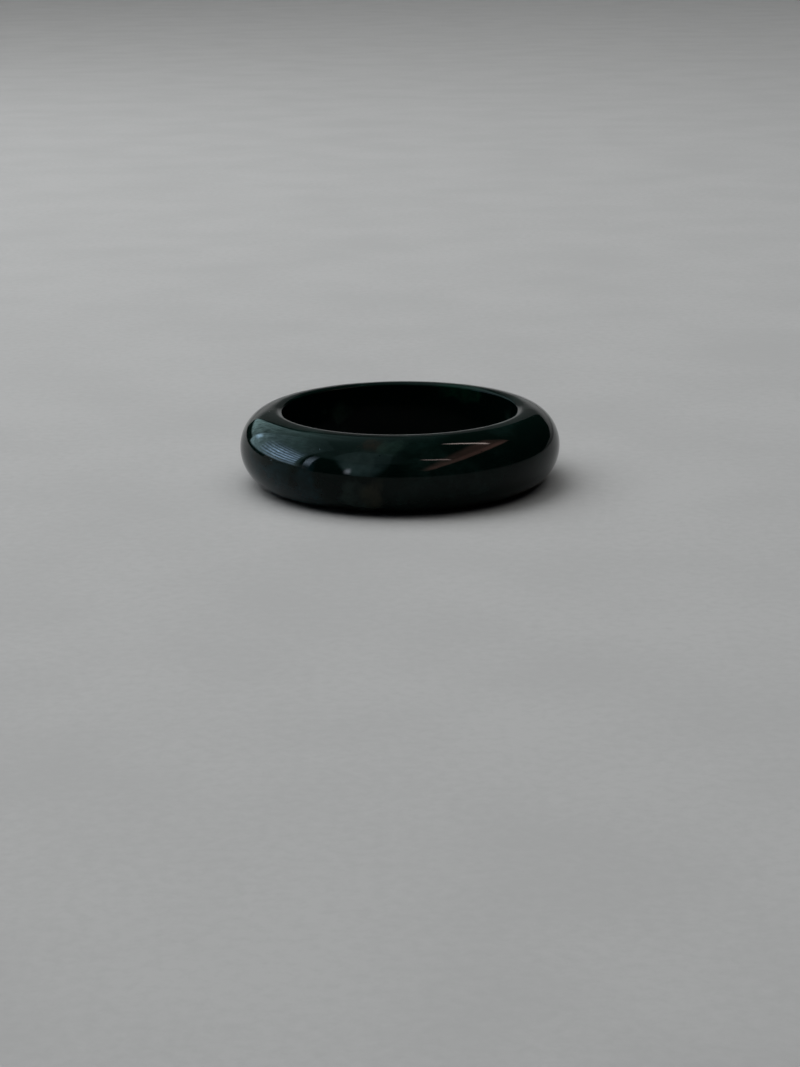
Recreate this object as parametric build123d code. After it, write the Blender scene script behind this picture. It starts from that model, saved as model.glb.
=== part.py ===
from build123d import *
import os

# A stackable ring, cut and polished from one piece of dark green stone.
# It lies on its side: its axis is Z and its lower rim rests at Z = 0.
# All sizes are in millimetres.

BORE_RADIUS = 8.65          # finger hole, 17.3 across
OUTER_RADIUS = 11.77        # crest of the dome, half-way up the ring
RING_HEIGHT = 5.5           # along the finger, from one rim land to the other
LAND_RADIUS = 9.2           # where the flat rim land ends and the dome starts
BEVEL_WIDTH = 0.37          # the eased bore edge, measured across the rim
BEVEL_DROP = 0.11           # the eased bore edge, measured down the bore
BORE_EDGE_ROUNDING = 0.1    # where the eased edge runs into the bore wall


def ring_section():
    """The D-shaped section beside the axis: bore wall, eased edges, rim lands and dome."""
    mid_height = RING_HEIGHT / 2
    dome_depth = OUTER_RADIUS - LAND_RADIUS
    land_inner = BORE_RADIUS + BEVEL_WIDTH
    with BuildSketch(Plane.XZ) as section:
        with BuildLine():
            dome = EllipticalCenterArc(
                (LAND_RADIUS, mid_height), dome_depth, mid_height, start_angle=-90, arc_size=180
            )
            Polyline(
                dome @ 1,
                (land_inner, RING_HEIGHT),
                (BORE_RADIUS, RING_HEIGHT - BEVEL_DROP),
                (BORE_RADIUS, BEVEL_DROP),
                (land_inner, 0),
                dome @ 0,
            )
        make_face()
        bore_corners = section.vertices().group_by(Axis.X)[0]
        fillet(bore_corners, BORE_EDGE_ROUNDING)
    return section.sketch


def stone_band():
    """The whole ring: its section taken once round the axis."""
    with BuildPart() as band:
        revolve(ring_section(), axis=Axis.Z, revolution_arc=360)
    return band.part


os.makedirs("parts", exist_ok=True)
export_step(stone_band(), "parts/stone_band.step")
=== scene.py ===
from math import cos, pi, radians, sin, tan

import bpy
from mathutils import Matrix, Vector


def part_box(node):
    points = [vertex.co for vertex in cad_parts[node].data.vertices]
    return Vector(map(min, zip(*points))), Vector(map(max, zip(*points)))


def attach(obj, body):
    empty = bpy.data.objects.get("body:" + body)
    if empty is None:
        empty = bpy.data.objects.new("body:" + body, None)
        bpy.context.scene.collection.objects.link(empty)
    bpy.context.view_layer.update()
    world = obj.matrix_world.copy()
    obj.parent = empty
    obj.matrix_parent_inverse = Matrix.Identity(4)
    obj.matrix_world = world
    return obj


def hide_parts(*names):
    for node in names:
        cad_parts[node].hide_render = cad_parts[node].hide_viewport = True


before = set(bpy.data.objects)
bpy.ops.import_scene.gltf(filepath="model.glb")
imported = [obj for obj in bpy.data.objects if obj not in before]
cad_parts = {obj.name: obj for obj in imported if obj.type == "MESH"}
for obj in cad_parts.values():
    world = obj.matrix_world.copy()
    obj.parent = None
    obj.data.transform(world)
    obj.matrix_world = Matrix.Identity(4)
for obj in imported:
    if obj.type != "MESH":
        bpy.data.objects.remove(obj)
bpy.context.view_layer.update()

# ---------------------------------------------------------------------------
# The band
# One piece of dark green chalcedony, sawn as a slice, drilled with a core bit, ground to
# a dome outside and tumbled to a high polish. The wall of its hole is painted blacker than
# the body, as shade, and is taken to be only honed. Nothing is fixed to it.
# ---------------------------------------------------------------------------

MM = 0.001
BORE_RADIUS = 8.65 * MM        # the core drill's hole, which becomes the finger hole
LAND_RADIUS = 9.2 * MM         # the sawn face is left flat out to here
EASE_WIDTH = 0.37 * MM         # the eased bore edge, across the rim
EASE_DROP = 0.11 * MM          # how far that edge falls before it turns down the bore
EASE_DEPTH = 0.19 * MM         # where it has become the bore wall
HONED_SHADE_RADIUS = 8.7 * MM        # inside this the stone is taken to be honed, not polished, and its colour is painted dark as shade
ROUND_STEPS = 360
DOME_STEPS = 120
WALL_STEPS = 36
EASE_STEPS = 10
POLISH_WAVE = 3.0 * MM         # polishing leaves faint swells this far apart
POLISH_DEPTH = 0.004 * MM
SEAM_GAP = 0.001 * MM          # points nearer than this are one point
BAND_SEED = 7

band_low, band_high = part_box("stone_band")
BAND_HEIGHT = band_high.z - band_low.z
OUTER_RADIUS = (band_high.x - band_low.x) / 2


def add_node(tree, kind, inputs=None, **settings):
    """Adds a node. An input that is given a node or a socket is linked to it, and any other is set."""
    made = tree.nodes.new(kind)
    for setting, value in settings.items():
        setattr(made, setting, value)
    for name, value in (inputs or {}).items():
        if isinstance(name, str):
            socket = next(socket for socket in made.inputs if socket.enabled and socket.name == name)
        else:
            socket = made.inputs[name]
        if isinstance(value, bpy.types.Node):
            value = next(output for output in value.outputs if output.enabled)
        if isinstance(value, bpy.types.NodeSocket):
            tree.links.new(value, socket)
        else:
            socket.default_value = value
    return made


def linear(hex_colour):
    """An sRGB hex colour as the linear red, green, blue and alpha that Blender works in."""
    channels = [int(hex_colour[i:i + 2], 16) / 255 for i in (1, 3, 5)]
    return [c / 12.92 if c <= 0.04045 else ((c + 0.055) / 1.055) ** 2.4 for c in channels] + [1.0]


def section_tree():
    """Geometry Nodes that sweep the band's D-shaped section once round the finger hole."""
    tree = bpy.data.node_groups.new("band_section_round_bore", "GeometryNodeTree")
    sockets = {}
    for name, kind in (
        ("Bore Radius", "Float"), ("Outer Radius", "Float"), ("Height", "Float"),
        ("Land Radius", "Float"), ("Ease Width", "Float"), ("Ease Drop", "Float"),
        ("Ease Depth", "Float"), ("Round Steps", "Int"), ("Dome Steps", "Int"),
        ("Wall Steps", "Int"), ("Ease Steps", "Int"), ("Polish Wave", "Float"),
        ("Polish Depth", "Float"), ("Seed", "Float"), ("Honed Radius", "Float"),
        ("Polished Stone", "Material"), ("Honed Shaded Stone", "Material"),
    ):
        sockets[name] = tree.interface.new_socket(name, in_out="INPUT", socket_type="NodeSocket" + kind)
    tree.interface.new_socket("Geometry", in_out="OUTPUT", socket_type="NodeSocketGeometry")
    given = add_node(tree, "NodeGroupInput").outputs

    half_height = add_node(tree, "ShaderNodeMath", {0: given["Height"], 1: 0.5}, operation="MULTIPLY")
    dome_depth = add_node(tree, "ShaderNodeMath", {
        0: given["Outer Radius"], 1: given["Land Radius"],
    }, operation="SUBTRACT")
    land_from_bore = add_node(tree, "ShaderNodeMath", {
        0: given["Land Radius"], 1: given["Bore Radius"],
    }, operation="SUBTRACT")
    arc = add_node(tree, "GeometryNodeCurveArc", {
        "Resolution": given["Dome Steps"], "Radius": 1.0,
        "Start Angle": radians(-90), "Sweep Angle": radians(180),
    })
    dome = add_node(tree, "GeometryNodeTransform", {
        "Geometry": arc,
        "Translation": add_node(tree, "ShaderNodeCombineXYZ", {"X": land_from_bore}),
        "Scale": add_node(tree, "ShaderNodeCombineXYZ", {"X": dome_depth, "Y": half_height, "Z": 1.0}),
    })

    def eased_edge(side):
        """The points that the upper (1) or lower (-1) edge turns by: rim land, corner, bore wall."""
        points = []
        turns = ((given["Ease Width"], 0.0), (0.0, given["Ease Drop"]), (0.0, given["Ease Depth"]))
        for across, drop in turns:
            height = add_node(tree, "ShaderNodeMath", {0: half_height, 1: drop}, operation="SUBTRACT")
            height = add_node(tree, "ShaderNodeMath", {0: height, 1: side}, operation="MULTIPLY")
            points.append(add_node(tree, "ShaderNodeCombineXYZ", {"X": across, "Y": height}))
        return points

    upper_land, upper_corner, upper_wall = eased_edge(1.0)
    lower_land, lower_corner, lower_wall = eased_edge(-1.0)
    upper_ease = add_node(tree, "GeometryNodeCurveQuadraticBezier", {
        "Resolution": given["Ease Steps"],
        "Start": upper_land, "Middle": upper_corner, "End": upper_wall,
    })
    lower_ease = add_node(tree, "GeometryNodeCurveQuadraticBezier", {
        "Resolution": given["Ease Steps"],
        "Start": lower_wall, "Middle": lower_corner, "End": lower_land,
    })
    wall = add_node(tree, "GeometryNodeResampleCurve", {
        "Curve": add_node(tree, "GeometryNodeCurvePrimitiveLine", {"Start": upper_wall, "End": lower_wall}),
        "Count": given["Wall Steps"],
    })
    outline = add_node(tree, "GeometryNodeJoinGeometry")
    for stretch in (lower_ease, wall, upper_ease, dome):    # a join puts its last link first
        tree.links.new(stretch.outputs[0], outline.inputs["Geometry"])
    stations = add_node(tree, "GeometryNodeCurveToPoints", {"Curve": outline}, mode="EVALUATED")
    section = add_node(tree, "GeometryNodeSetSplineCyclic", {
        "Geometry": add_node(tree, "GeometryNodePointsToCurves", {"Points": stations}), "Cyclic": True,
    })

    swept = add_node(tree, "GeometryNodeCurveToMesh", {
        "Curve": add_node(tree, "GeometryNodeCurvePrimitiveCircle", {
            "Resolution": given["Round Steps"], "Radius": given["Bore Radius"],
        }),
        "Profile Curve": section,
    })
    merged = add_node(tree, "GeometryNodeMergeByDistance", {"Geometry": swept, "Distance": SEAM_GAP})
    standing = add_node(tree, "GeometryNodeTransform", {
        "Geometry": merged, "Translation": add_node(tree, "ShaderNodeCombineXYZ", {"Z": half_height}),
    })
    swell = add_node(tree, "ShaderNodeTexNoise", {
        "W": given["Seed"], "Detail": 1.0,
        "Scale": add_node(tree, "ShaderNodeMath", {0: 1.0, 1: given["Polish Wave"]}, operation="DIVIDE"),
    }, noise_dimensions="4D")
    rise = add_node(tree, "ShaderNodeMath", {0: swell, 1: 0.5}, operation="SUBTRACT")
    rise = add_node(tree, "ShaderNodeMath", {0: rise, 1: given["Polish Depth"]}, operation="MULTIPLY")
    outwards = add_node(tree, "ShaderNodeVectorMath", {
        0: add_node(tree, "GeometryNodeInputNormal"), "Scale": rise,
    }, operation="SCALE")
    polished = add_node(tree, "GeometryNodeSetPosition", {"Geometry": standing, "Offset": outwards})
    smooth = add_node(tree, "GeometryNodeSetShadeSmooth", {"Geometry": polished})
    realized = add_node(tree, "GeometryNodeRealizeInstances", {"Geometry": smooth})
    from_axis = add_node(tree, "ShaderNodeVectorMath", {
        0: add_node(tree, "ShaderNodeVectorMath", {
            0: add_node(tree, "GeometryNodeInputPosition"), 1: (1.0, 1.0, 0.0),
        }, operation="MULTIPLY"),
    }, operation="LENGTH")
    in_bore = add_node(tree, "FunctionNodeCompare", {
        0: from_axis, 1: given["Honed Radius"],
    }, data_type="FLOAT", operation="LESS_THAN")
    all_polished = add_node(tree, "GeometryNodeSetMaterial", {
        "Geometry": realized, "Material": given["Polished Stone"],
    })
    finished = add_node(tree, "GeometryNodeSetMaterial", {
        "Geometry": all_polished, "Selection": in_bore, "Material": given["Honed Shaded Stone"],
    })
    add_node(tree, "NodeGroupOutput", {0: finished})
    return tree, sockets


BODY = "#030E0B"
VEIL = "#10201D"
BORE_SHADE = "#010705"               # painted shade: the wall of the hole, blacker than the body
# Each cloud in the stone, and each patch of painted light: where its middle is and how far it reaches along
# X, Y and Z in millimetres, and its colour.
CLOUDS_AND_PAINTED_LIGHT = (
    ((-2.9, -10.7, 4.0), (1.5, 1.8, 1.3), "#17211F"),      # the main one, left of the front
    ((-2.8, -11.2, 1.6), (1.5, 1.6, 1.6), "#1E2A27"),      # its tail, which runs down to the lower rim
    ((-2.0, -11.4, 1.6), (0.9, 1.2, 2.2), "#25271F"),      # a brown vein in the tail
    ((-2.0, -10.1, 4.9), (1.6, 0.8, 0.5), "#19150F"),      # a brown speck above it
    ((-0.4, -10.3, 4.8), (1.4, 0.9, 0.6), "#1A2A25"),      # and a pale one beside that
    # Painted glow: the green light that shines through the thin far rim, painted into the stone's colour.
    ((4.6, 7.4, 5.2), (2.8, 1.6, 1.0), "#021D13"),         # green, just under the far rim
    ((9.6, 4.2, 3.6), (2.0, 2.6, 1.6), "#14231F"),         # two more, behind at the right and left
    ((-6.4, 9.0, 3.0), (2.4, 2.4, 1.8), "#17261F"),
    # Painted reflection: the lower left, on the window's side, is lighter and bluish as the lit table
    # mirrored there.
    ((-9.5, -6.5, 0.9), (5.5, 6.0, 3.2), "#13292E"),       # wide and bluish, low on the left
)
CLOUD_EDGE = (1.05, 0.6)       # a cloud thins out between these parts of its reach
CLOUD_DRIFT = 1.8              # how far the slow drift pushes its edge in and out
CLOUD_MOSS = 1.3               # how far the mossy grain does
CLOUD_EVEN = -1.55             # takes away what the two push on average
VEIL_SIZE = 4.5 * MM           # from one faint veil to the next
VEIL_EDGE = (0.48, 0.72)       # the noise over which a veil thickens
MOSS_SIZE = 0.8 * MM           # the mossy grain inside a veil or a cloud
MOSS_EDGE = (0.35, 0.65)
MOSS_THINNEST = 0.35           # how much of the colour is left between the moss
HONED_SHADE_BLEND = 0.05 * MM        # the polish and the painted shade stop over this width
STONE_IOR = 1.54
POLISHED_MIRROR = 0.085        # specular level, under a real stone's 0.5, or the pale table would grey it
HONED_MIRROR = 0.02            # lower still, or the table would grey the black wall of the hole
POLISHED_ROUGHNESS = (0.03, 0.09)
HONED_ROUGHNESS = 0.04         # what honing adds to that
SKIN_SIZE = 0.35 * MM          # patches that took the polish better or worse
SKIN_EDGE = (0.35, 0.8)
RIPPLE_SIZE = 2.4 * MM         # swells that tumbling leaves in the polish
RIPPLE_HEIGHT = 0.012 * MM
PIT_SPACING = 1.3 * MM         # open grains that the polish didn't close
PIT_RADIUS = 0.07 * MM
PIT_DEPTH = 0.02 * MM


def polished_chalcedony():
    """Dark green chalcedony, tumbled to a glassy polish.
    The eye sees near-black glass with grey-green clouds in it under a mirror-like skin. Some of the clouds
    are painted light, and the wall of the hole is painted dark as shade."""
    material = bpy.data.materials.new("polished_dark_green_chalcedony")
    material.use_nodes = True
    tree = material.node_tree
    surface = tree.nodes["Principled BSDF"]
    place = add_node(tree, "ShaderNodeTexCoord").outputs["Object"]

    flat_place = add_node(tree, "ShaderNodeMapping", {"Vector": place, "Scale": (1.0, 1.0, 0.0)})
    from_axis = add_node(tree, "ShaderNodeVectorMath", {0: flat_place}, operation="LENGTH")
    # Where the wall of the hole starts: it is taken to be honed, and its colour is painted dark as shade.
    honed_and_shaded = add_node(tree, "ShaderNodeMapRange", {
        "Value": from_axis, "From Min": HONED_SHADE_RADIUS + HONED_SHADE_BLEND, "From Max": HONED_SHADE_RADIUS,
    }, interpolation_type="SMOOTHSTEP")

    moss = add_node(tree, "ShaderNodeTexNoise", {
        "Vector": place, "Scale": 1 / MOSS_SIZE, "Detail": 5.0, "Roughness": 0.65,
    })
    grain = add_node(tree, "ShaderNodeMapRange", {
        "Value": moss, "From Min": MOSS_EDGE[0], "From Max": MOSS_EDGE[1],
        "To Min": MOSS_THINNEST, "To Max": 1.0,
    }, interpolation_type="SMOOTHSTEP")
    veil = add_node(tree, "ShaderNodeMapRange", {
        "Value": add_node(tree, "ShaderNodeTexNoise", {
            "Vector": place, "Scale": 1 / VEIL_SIZE, "Detail": 4.0, "Distortion": 0.6,
        }),
        "From Min": VEIL_EDGE[0], "From Max": VEIL_EDGE[1],
    }, interpolation_type="SMOOTHSTEP")
    veil = add_node(tree, "ShaderNodeMath", {0: veil, 1: grain}, operation="MULTIPLY")
    outside = add_node(tree, "ShaderNodeMath", {0: 1.0, 1: honed_and_shaded}, operation="SUBTRACT")
    veil = add_node(tree, "ShaderNodeMath", {0: veil, 1: outside}, operation="MULTIPLY")
    colour = add_node(tree, "ShaderNodeMix", {
        "Factor": veil, "A": linear(BODY), "B": linear(VEIL),
    }, data_type="RGBA")
    # Painted shade: the wall of the hole is coloured near-black, as the shade deep in it.
    colour = add_node(tree, "ShaderNodeMix", {
        "Factor": honed_and_shaded, "A": colour, "B": linear(BORE_SHADE),
    }, data_type="RGBA")

    # A cloud's outline is an egg made ragged by a slow drift and by the moss.
    drift = add_node(tree, "ShaderNodeTexNoise", {"Vector": place, "Scale": 2 / VEIL_SIZE, "Detail": 2.0})
    ragged = add_node(tree, "ShaderNodeMath", {
        0: drift, 1: CLOUD_DRIFT, 2: CLOUD_EVEN,
    }, operation="MULTIPLY_ADD")
    ragged = add_node(tree, "ShaderNodeMath", {
        0: moss, 1: CLOUD_MOSS, 2: ragged,
    }, operation="MULTIPLY_ADD")
    # Each cloud, and each patch of painted light, is mixed into the stone's colour.
    for middle, reach, cloud_and_light_colour in CLOUDS_AND_PAINTED_LIGHT:
        egg = add_node(tree, "ShaderNodeMapping", {
            "Vector": place,
            "Location": [-centre / extent for centre, extent in zip(middle, reach)],
            "Scale": [1 / (extent * MM) for extent in reach],
        })
        from_middle = add_node(tree, "ShaderNodeVectorMath", {0: egg}, operation="LENGTH")
        edge = add_node(tree, "ShaderNodeMath", {0: from_middle, 1: ragged}, operation="ADD")
        cloud_and_light = add_node(tree, "ShaderNodeMapRange", {
            "Value": edge, "From Min": CLOUD_EDGE[0], "From Max": CLOUD_EDGE[1],
        }, interpolation_type="SMOOTHSTEP")
        cloud_and_light = add_node(tree, "ShaderNodeMath", {0: cloud_and_light, 1: grain}, operation="MULTIPLY")
        colour = add_node(tree, "ShaderNodeMix", {
            "Factor": cloud_and_light, "A": colour, "B": linear(cloud_and_light_colour),
        }, data_type="RGBA")
    tree.links.new(colour.outputs["Result"], surface.inputs["Base Color"])

    skin = add_node(tree, "ShaderNodeMapRange", {
        "Value": add_node(tree, "ShaderNodeTexNoise", {
            "Vector": place, "Scale": 1 / SKIN_SIZE, "Detail": 6.0, "Roughness": 0.7,
        }),
        "From Min": SKIN_EDGE[0], "From Max": SKIN_EDGE[1],
        "To Min": POLISHED_ROUGHNESS[0], "To Max": POLISHED_ROUGHNESS[1],
    }, interpolation_type="SMOOTHSTEP")
    roughness = add_node(tree, "ShaderNodeMath", {
        0: honed_and_shaded, 1: HONED_ROUGHNESS, 2: skin,
    }, operation="MULTIPLY_ADD")
    tree.links.new(roughness.outputs[0], surface.inputs["Roughness"])

    ripple = add_node(tree, "ShaderNodeBump", {
        "Height": add_node(tree, "ShaderNodeTexNoise", {
            "Vector": place, "Scale": 1 / RIPPLE_SIZE, "Detail": 2.0,
        }),
        "Distance": RIPPLE_HEIGHT,
    })
    grains = add_node(tree, "ShaderNodeTexVoronoi", {"Vector": place, "Scale": 1 / PIT_SPACING})
    pits = add_node(tree, "ShaderNodeBump", {
        "Height": add_node(tree, "ShaderNodeMapRange", {
            "Value": grains, "From Min": 0.0, "From Max": PIT_RADIUS / PIT_SPACING,
        }, interpolation_type="SMOOTHSTEP"),
        "Distance": PIT_DEPTH, "Normal": ripple,
    })
    tree.links.new(pits.outputs["Normal"], surface.inputs["Normal"])
    surface.inputs["IOR"].default_value = STONE_IOR
    surface.inputs["Specular IOR Level"].default_value = POLISHED_MIRROR
    return material


def honed_shaded_chalcedony(polished):
    """The same stone on the wall of the hole, taken to be ground fine and left unpolished, with its colour
    painted near-black as shade.
    The eye sees a black wall that mirrors hardly any of the table."""
    material = polished.copy()
    material.name = "honed_shaded_dark_green_chalcedony"
    surface = material.node_tree.nodes["Principled BSDF"]
    surface.inputs["Specular IOR Level"].default_value = HONED_MIRROR
    return material


def make_band():
    """The band as one plain mesh, swept by its Geometry Nodes and then freed of them."""
    tree, sockets = section_tree()
    stone = polished_chalcedony()
    band = bpy.data.objects.new("polished_band", bpy.data.meshes.new("polished_band"))
    bpy.context.scene.collection.objects.link(band)
    sweep = band.modifiers.new("section_round_bore", "NODES")
    sweep.node_group = tree
    for name, value in {
        "Bore Radius": BORE_RADIUS, "Outer Radius": OUTER_RADIUS, "Height": BAND_HEIGHT,
        "Land Radius": LAND_RADIUS, "Ease Width": EASE_WIDTH, "Ease Drop": EASE_DROP,
        "Ease Depth": EASE_DEPTH, "Round Steps": ROUND_STEPS, "Dome Steps": DOME_STEPS,
        "Wall Steps": WALL_STEPS, "Ease Steps": EASE_STEPS, "Polish Wave": POLISH_WAVE,
        "Polish Depth": POLISH_DEPTH, "Seed": float(BAND_SEED), "Honed Radius": HONED_SHADE_RADIUS,
        "Polished Stone": stone, "Honed Shaded Stone": honed_shaded_chalcedony(stone),
    }.items():
        sweep[sockets[name].identifier] = value
    evaluated = band.evaluated_get(bpy.context.evaluated_depsgraph_get())
    band.data = bpy.data.meshes.new_from_object(evaluated)
    band.modifiers.remove(sweep)
    return band


band = make_band()
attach(band, "root")
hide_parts("stone_band")


# ---------------------------------------------------------------------------
# The table and the backdrop
# One matt pale grey board. It turns up into a high wall behind the ring and a lower
# one at its left, with a gap between them, and ends in a low lip everywhere else.
# ---------------------------------------------------------------------------

SWEEP_RADIUS = 1100 * MM
SWEEP_COVE = 90 * MM           # the radius of the bend from the table up to the wall
INNER_RINGS = (0.1, 0.3, 0.6)  # where the flat board is divided, as parts of its radius
# The wall's top, by the angle round from the front, clockwise as seen from above.
WALL_TOPS = (
    (0, 15 * MM), (65, 15 * MM), (76, 240 * MM), (106, 240 * MM), (114, 15 * MM), (158, 15 * MM),
    (166, 700 * MM), (188, 700 * MM), (197, 250 * MM), (222, 80 * MM), (240, 15 * MM), (360, 15 * MM),
)
COVE_STEPS = 12
SWEEP_STEPS = 144
BOARD = ("#A6A7A7", "#ABACAC")  # the two greys that the roller left
WALL_FOOT = "#EDEEEE"          # the wall's foot is near-white
WALL_HEAD = "#7C7E7E"          # and its head is mid grey
FOOT_HEIGHT = 140 * MM
FOOT_FADE = 130 * MM           # the foot goes over to the head in this height
BOARD_TOOTH = 0.7 * MM         # the roller's tooth in the paint
BOARD_TOOTH_DEPTH = 0.02 * MM
BOARD_MOTTLE = 14 * MM         # from one patch of the second grey to the next
MOTTLE_EDGE = (0.15, 0.35)
PAINT_ROUGHNESS = 0.9
PAINT_MIRROR = 0.0             # none, so that the board takes no tint from the window


def rolled_matt_paint():
    """Emulsion, rolled on: dead matt, with a fine even tooth and a faint mottle.
    The eye sees a pale grey table, and a wall that is near-white low down and mid grey above."""
    material = bpy.data.materials.new("rolled_matt_paint")
    material.use_nodes = True
    tree = material.node_tree
    surface = tree.nodes["Principled BSDF"]
    place = add_node(tree, "ShaderNodeTexCoord").outputs["Object"]
    height = add_node(tree, "ShaderNodeSeparateXYZ", {0: place}).outputs["Z"]
    tooth = add_node(tree, "ShaderNodeTexNoise", {
        "Vector": place, "Scale": 1 / BOARD_TOOTH, "Detail": 3.0, "Roughness": 0.6,
    })
    mottle = add_node(tree, "ShaderNodeTexNoise", {
        "Vector": place, "Scale": 1 / BOARD_MOTTLE, "Detail": 2.0,
    })
    blend = add_node(tree, "ShaderNodeMath", {0: tooth, 1: mottle}, operation="MULTIPLY")
    colour = add_node(tree, "ShaderNodeMix", {
        "Factor": add_node(tree, "ShaderNodeMapRange", {
            "Value": blend, "From Min": MOTTLE_EDGE[0], "From Max": MOTTLE_EDGE[1],
        }),
        "A": linear(BOARD[0]), "B": linear(BOARD[1]),
    }, data_type="RGBA")
    over_table = add_node(tree, "ShaderNodeMapRange", {
        "Value": height, "From Min": 0.0, "From Max": SWEEP_COVE,
    })
    below_head = add_node(tree, "ShaderNodeMapRange", {
        "Value": height, "From Min": FOOT_HEIGHT + FOOT_FADE, "From Max": FOOT_HEIGHT,
    }, interpolation_type="SMOOTHSTEP")
    head = add_node(tree, "ShaderNodeMath", {0: 1.0, 1: below_head}, operation="SUBTRACT")
    colour = add_node(tree, "ShaderNodeMix", {
        "Factor": head, "A": colour, "B": linear(WALL_HEAD),
    }, data_type="RGBA")
    foot = add_node(tree, "ShaderNodeMath", {0: over_table, 1: below_head}, operation="MULTIPLY")
    colour = add_node(tree, "ShaderNodeMix", {
        "Factor": foot, "A": colour, "B": linear(WALL_FOOT),
    }, data_type="RGBA")
    tree.links.new(colour.outputs["Result"], surface.inputs["Base Color"])
    bump = add_node(tree, "ShaderNodeBump", {"Height": tooth, "Distance": BOARD_TOOTH_DEPTH})
    tree.links.new(bump.outputs["Normal"], surface.inputs["Normal"])
    surface.inputs["Roughness"].default_value = PAINT_ROUGHNESS
    surface.inputs["Specular IOR Level"].default_value = PAINT_MIRROR
    return material


def wall_top(degrees):
    """The wall's height at an angle round the table, smooth between the heights in WALL_TOPS."""
    for (start, low), (end, high) in zip(WALL_TOPS, WALL_TOPS[1:]):
        if start <= degrees <= end:
            part = (degrees - start) / (end - start)
            return low + (high - low) * part * part * (3 - 2 * part)


def make_sweep():
    """Rings of points from the middle of the table out to the wall's top, skinned with faces."""
    rings = [(SWEEP_RADIUS * part, 0.0) for part in INNER_RINGS]
    for step in range(COVE_STEPS + 1):
        turn = pi / 2 * step / COVE_STEPS
        rings.append((SWEEP_RADIUS - SWEEP_COVE * (1 - sin(turn)), 1 - cos(turn)))
    points = [(0.0, 0.0, 0.0)]
    faces = []
    for radius, rise in rings + [(SWEEP_RADIUS, None)]:
        for step in range(SWEEP_STEPS):
            angle = 2 * pi * step / SWEEP_STEPS
            top = wall_top(360 * step / SWEEP_STEPS)
            height = top + MM if rise is None else rise * min(top, SWEEP_COVE)
            points.append((-radius * sin(angle), -radius * cos(angle), height))
    for step in range(SWEEP_STEPS):
        following = (step + 1) % SWEEP_STEPS
        faces.append((0, 1 + following, 1 + step))
        for ring in range(len(rings)):
            near = 1 + ring * SWEEP_STEPS
            far = near + SWEEP_STEPS
            faces.append((near + step, near + following, far + following, far + step))
    mesh = bpy.data.meshes.new("sweep")
    mesh.from_pydata(points, [], faces)
    mesh.shade_smooth()
    mesh.materials.append(rolled_matt_paint())
    sweep = bpy.data.objects.new("sweep", mesh)
    bpy.context.scene.collection.objects.link(sweep)
    return sweep


make_sweep()


# ---------------------------------------------------------------------------
# The light
# The polish mirrors a tall window behind at the left, a dim card in front, and two
# tubes and a rosy rail at the right. Broad soft lamps light the table and the stone's
# own colour, and the polish doesn't mirror them.
# ---------------------------------------------------------------------------

RING_MIDDLE = Vector((0.0, 0.0, BAND_HEIGHT / 2))
RIGHT = (1.0, 0.0)             # ways across a softbox's face
UP = (0.0, 1.0)
MOTTLE_PATCHES = 12.0          # how many patches the cloth shows across a face
PATCH_EDGE = (0.35, 0.65)
SLAT_SHADE = (0.0, 1.6)        # the light in a blind's gaps, and on its sunlit slats
WAVE_BANDS = 20 / (2 * pi)     # the bands that a wave texture has across a face at scale 1


def direction(azimuth, elevation):
    """Unit vector from the ring: azimuth 0 is towards the camera, positive to the right."""
    flat = cos(radians(elevation))
    return Vector((
        flat * sin(radians(azimuth)),
        -flat * cos(radians(azimuth)),
        sin(radians(elevation)),
    ))


def softbox(name, middle, along, away, width, height, radiance, colour):
    """A flat area lamp, placed from the ring's middle. It faces against `away`, its width lies
    along `along`, and its radiance is how bright its face looks."""
    lamp = bpy.data.lights.new(name, "AREA")
    lamp.shape = "RECTANGLE"
    lamp.size = width
    lamp.size_y = height
    lamp.energy = radiance * pi * width * height
    lamp.color = linear(colour)[:3]
    holder = bpy.data.objects.new(name, lamp)
    holder.matrix_world = (
        Matrix.Translation(RING_MIDDLE + middle)
        @ Matrix((along, away.cross(along), away)).transposed().to_4x4()
    )
    bpy.context.scene.collection.objects.link(holder)
    return holder


def upright_softbox(name, azimuths, elevations, distance, radiance, colour):
    """One that stands upright between two azimuths, from one elevation up to another."""
    corner, other = (direction(azimuth, 0) * distance for azimuth in azimuths)
    plan = (corner + other) / 2
    low, high = (plan.length * tan(radians(elevation)) for elevation in elevations)
    middle = plan + Vector((0.0, 0.0, (low + high) / 2))
    along = (other - corner).normalized()
    width = (other - corner).length
    return softbox(name, middle, along, plan.normalized(), width, high - low, radiance, colour)


def strip_softbox(name, start, end, breadth, distance, radiance, colour):
    """One that runs straight from one direction to another and faces the ring."""
    corner, other = (direction(*towards) * distance for towards in (start, end))
    middle = (corner + other) / 2
    along = (other - corner).normalized()
    width = (other - corner).length
    height = 2 * middle.length * tan(radians(breadth / 2))
    return softbox(name, middle, along, middle.normalized(), width, height, radiance, colour)


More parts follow.
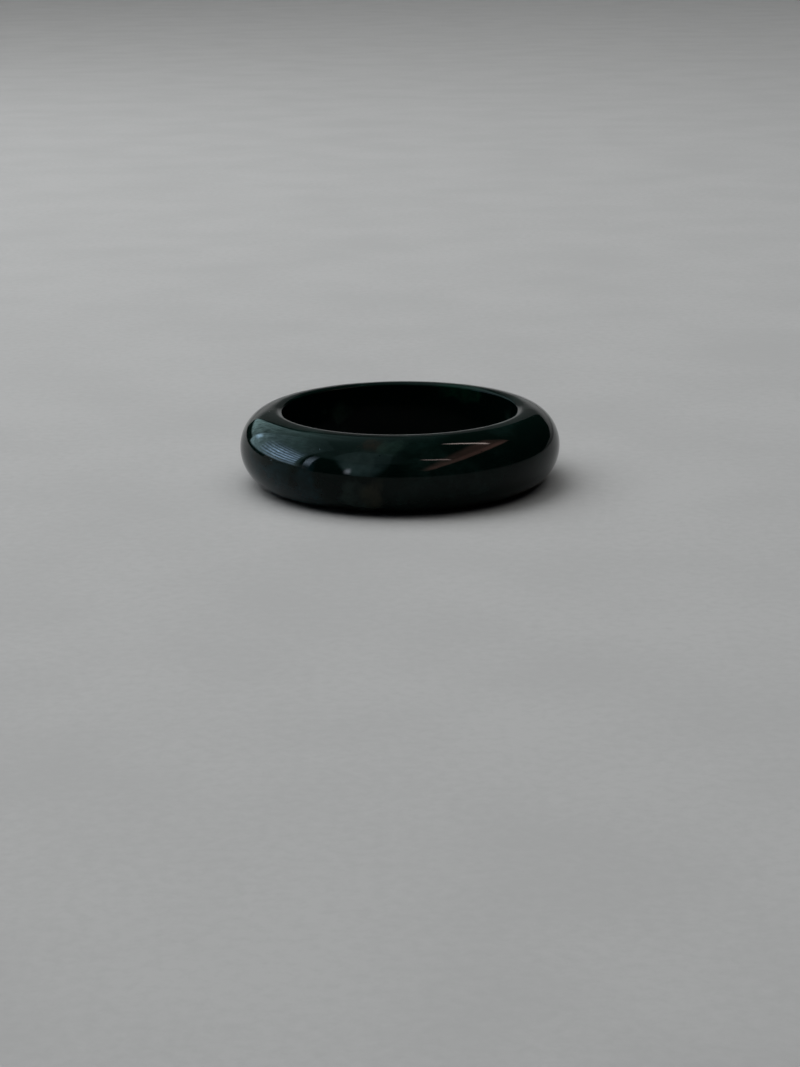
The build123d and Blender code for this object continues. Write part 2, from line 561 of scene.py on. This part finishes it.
def hang_cloth(holder, ramps, slats=0, mottle=0.0):
    """Dims a mirrored softbox as a cloth or a slatted blind hung before it does, and keeps its
    light off the table. A ramp is a way across the face (right, up), where along that way it
    starts and ends, and the light let through at its start and its end."""
    holder.visible_diffuse = False
    holder.data.use_nodes = True
    tree = holder.data.node_tree
    face = add_node(tree, "ShaderNodeNewGeometry").outputs["Parametric"]
    strength = 1.0
    for (right, up), start, end, through_start, through_end in ramps:
        along = add_node(tree, "ShaderNodeVectorMath", {
            0: face, 1: (right, up, 0.0),
        }, operation="DOT_PRODUCT")
        ramp = add_node(tree, "ShaderNodeMapRange", {
            "Value": along, "From Min": start, "From Max": end,
            "To Min": through_start, "To Max": through_end,
        }, interpolation_type="SMOOTHSTEP")
        strength = add_node(tree, "ShaderNodeMath", {0: strength, 1: ramp}, operation="MULTIPLY")
    if slats:
        wave = add_node(tree, "ShaderNodeTexWave", {
            "Vector": face, "Scale": slats / WAVE_BANDS, "Distortion": 1.2, "Detail": 2.0,
        }, bands_direction="Y")
        shade = add_node(tree, "ShaderNodeMapRange", {
            "Value": wave, "To Min": SLAT_SHADE[0], "To Max": SLAT_SHADE[1],
        })
        strength = add_node(tree, "ShaderNodeMath", {0: strength, 1: shade}, operation="MULTIPLY")
    if mottle:
        patches = add_node(tree, "ShaderNodeTexNoise", {
            "Vector": face, "Scale": MOTTLE_PATCHES, "Detail": 6.0, "Roughness": 0.65,
        })
        shade = add_node(tree, "ShaderNodeMapRange", {
            "Value": patches, "From Min": PATCH_EDGE[0], "From Max": PATCH_EDGE[1],
            "To Min": 1.0 - mottle, "To Max": 1.0 + mottle,
        })
        strength = add_node(tree, "ShaderNodeMath", {0: strength, 1: shade}, operation="MULTIPLY")
    tree.links.new(strength.outputs[0], tree.nodes["Emission"].inputs["Strength"])


# The window: a dimmer left light, a main one, the sun on the blind inside it, the sun's glint
# on its left post, and a narrow side light.
window_left = upright_softbox("window_left", (-161, -139), (8, 62), 550 * MM, 1.5, "#B6DCDE")
hang_cloth(window_left, (
    (UP, 0.25, 0.45, 1.0, 0.35),
    (UP, 0.45, 1.0, 1.0, 0.2),
    (UP, 0.0, 0.03, 0.0, 1.0),
    (RIGHT, 0.0, 0.08, 0.0, 1.0),
), mottle=0.6)
window = upright_softbox("window", (-139, -76), (3.5, 62), 550 * MM, 2.9, "#B6DCE4")
hang_cloth(window, (
    (UP, 0.25, 0.45, 1.0, 0.52),
    (UP, 0.5, 0.85, 1.0, 0.3),
    (UP, 0.0, 0.03, 0.0, 1.0),
    (RIGHT, 0.0, 0.03, 0.5, 1.0),
    (RIGHT, 0.93, 1.0, 1.0, 0.5),
), mottle=0.4)
pane = upright_softbox("sunlit_pane", (-122, -79), (4.5, 38), 530 * MM, 15.0, "#AECEF2")
hang_cloth(pane, (
    (UP, 0.0, 0.25, 0.2, 1.0),
    (UP, 0.4, 0.95, 1.0, 0.05),
    (RIGHT, 0.0, 0.65, 0.1, 1.0),
    (RIGHT, 0.95, 1.0, 1.0, 0.3),
), slats=8, mottle=0.5)
glint = upright_softbox("window_glint", (-139, -131), (12, 24), 530 * MM, 6.0, "#B0D4F0")
hang_cloth(glint, (
    (UP, 0.0, 0.4, 0.0, 1.0),
    (UP, 0.6, 1.0, 1.0, 0.0),
    (RIGHT, 0.0, 0.4, 0.0, 1.0),
    (RIGHT, 0.6, 1.0, 1.0, 0.0),
), mottle=0.8)
side_light = upright_softbox("window_side_light", (-72.5, -66.5), (2, 36), 500 * MM, 9.0, "#D0E8FF")
hang_cloth(side_light, (
    (UP, 0.1, 0.45, 0.05, 1.0),
    (UP, 0.5, 1.0, 1.0, 0.1),
), mottle=0.5)

# In front: a low bright strip, and a dim card that narrows to its foot.
front_strip = upright_softbox("front_strip", (-40, -34), (2, 20), 500 * MM, 11.0, "#E8F0FF")
hang_cloth(front_strip, (
    (UP, 0.0, 0.4, 0.2, 1.0),
    (UP, 0.5, 1.0, 1.0, 0.1),
    (RIGHT, 0.0, 0.4, 0.1, 1.0),
    (RIGHT, 0.6, 1.0, 1.0, 0.1),
))
grey_card = upright_softbox("grey_card", (-58, -8), (0, 68), 520 * MM, 2.5, "#B0E0E4")
hang_cloth(grey_card, (
    (UP, 0.0, 0.1, 0.8, 1.0),
    (UP, 0.13, 0.36, 1.0, 0.32),
    (UP, 0.85, 1.0, 1.0, 0.3),
    ((1.0, 1.16), 0.42, 0.56, 0.0, 1.0),
    ((1.0, -0.68), 0.45, 0.75, 1.0, 0.6),
    ((1.0, -0.68), 0.7, 0.88, 1.0, 0.0),
), mottle=0.2)

# At the right: two ceiling tubes, and a rosy picture rail that climbs from the front to the back.
tube_right = strip_softbox("ceiling_tube_right", (128, 72), (103, 51), 3.0, 600 * MM, 18.0, "#FFEAE4")
tube_front = strip_softbox("ceiling_tube_front", (18, 46), (42, 39), 2.4, 600 * MM, 13.0, "#FFE2DC")
for tube in (tube_right, tube_front):
    hang_cloth(tube, (
        (RIGHT, 0.0, 0.2, 0.2, 1.0),
        (RIGHT, 0.85, 1.0, 1.0, 0.3),
    ))
rail = strip_softbox("picture_rail", (12, 19), (120, 49), 24, 650 * MM, 2.6, "#FFBFB1")
hang_cloth(rail, (
    (UP, 0.0, 0.08, 0.4, 1.0),
    (UP, 0.2, 0.35, 1.0, 0.5),
    ((-0.6, 1.0), 0.2, 0.45, 1.0, 0.0),
    (RIGHT, 0.0, 0.15, 0.3, 1.0),
    (RIGHT, 0.8, 1.0, 1.0, 0.4),
), mottle=0.2)

# The broad soft lamps: a key from the left, a fill from above, and washes that face out and down
# over the two walls and over the board in front.
KEY = ("key_from_left", (-115, 30), (-115, 85), 60, 450 * MM, 2.3, "#FDFEFF")
FILL = ("overhead_fill", (-45, 60), (135, 50), 70, 700 * MM, 1.0, "#FFFEFD")
WASHES = ((-170, 3.3), (-90, 4.0), (45, 1.5))      # the azimuth that each faces, and its radiance
WASH_OUT = 550 * MM
WASH_HEIGHT = 650 * MM
WASH_SIZE = (900 * MM, 300 * MM)
for name, start, end, breadth, distance, radiance, colour in (KEY, FILL):
    soft = strip_softbox(name, start, end, breadth, distance, radiance, colour)
    soft.visible_glossy = False
upright = Vector((0.0, 0.0, 1.0))
for azimuth, radiance in WASHES:
    outwards = direction(azimuth, 0)
    middle = outwards * WASH_OUT + upright * WASH_HEIGHT
    away = (upright - outwards).normalized()
    along = upright.cross(away).normalized()
    wash = softbox("wall_wash", middle, along, away, *WASH_SIZE, radiance, "#FFFFFF")
    wash.visible_glossy = False

# The dim room beyond, which only the polish mirrors: its ceiling is lit at the left.
ROOM_WALLS = "#0A0B0B"
CEILING_RIGHT = "#1C1311"
CEILING_LEFT = "#9CBCBC"
CEILING_TURN = (0.16, -0.22)   # across the room, where the one goes over to the other
CEILING_FOOT = (0.55, 0.63)    # up the room, where the walls go over to the ceiling
world = bpy.data.worlds.new("dim_room")
world.use_nodes = True
bpy.context.scene.world = world
world.cycles_visibility.diffuse = False
room = world.node_tree
facing = add_node(room, "ShaderNodeSeparateXYZ", {
    0: add_node(room, "ShaderNodeTexCoord").outputs["Generated"],
})
leftwards = add_node(room, "ShaderNodeMapRange", {
    "Value": facing.outputs["X"], "From Min": CEILING_TURN[0], "From Max": CEILING_TURN[1],
}, interpolation_type="SMOOTHSTEP")
ceiling = add_node(room, "ShaderNodeMix", {
    "Factor": leftwards, "A": linear(CEILING_RIGHT), "B": linear(CEILING_LEFT),
}, data_type="RGBA")
upwards = add_node(room, "ShaderNodeMapRange", {
    "Value": facing.outputs["Z"], "From Min": CEILING_FOOT[0], "From Max": CEILING_FOOT[1],
}, interpolation_type="SMOOTHSTEP")
walls_and_ceiling = add_node(room, "ShaderNodeMix", {
    "Factor": upwards, "A": linear(ROOM_WALLS), "B": ceiling,
}, data_type="RGBA")
room.links.new(walls_and_ceiling.outputs["Result"], room.nodes["Background"].inputs["Color"])

bpy.context.scene.view_settings.view_transform = "Standard"


# ---------------------------------------------------------------------------
# The camera
# A short telephoto near the ring and a little above it. It looks down at the ring, with
# hardly any turn or tilt.
# ---------------------------------------------------------------------------

CAMERA_DISTANCE = 173 * MM
CAMERA_ELEVATION = 13.2
CAMERA_PITCH = -15.4
CAMERA_YAW = 0.02
CAMERA_ROLL = -0.55
CAMERA_LENS = 79               # in the camera's own millimetres, as is the sensor
CAMERA_SENSOR = 36

lens = bpy.data.cameras.new("camera")
lens.lens = CAMERA_LENS
lens.sensor_width = CAMERA_SENSOR
lens.clip_start = 10 * MM
camera = bpy.data.objects.new("camera", lens)
camera.matrix_world = (
    Matrix.Translation(RING_MIDDLE + direction(0, CAMERA_ELEVATION) * CAMERA_DISTANCE)
    @ Matrix.Rotation(radians(CAMERA_YAW), 4, "Z")
    @ Matrix.Rotation(radians(90 + CAMERA_PITCH), 4, "X")
    @ Matrix.Rotation(radians(CAMERA_ROLL), 4, "Z")
)
bpy.context.scene.collection.objects.link(camera)
bpy.context.scene.camera = camera
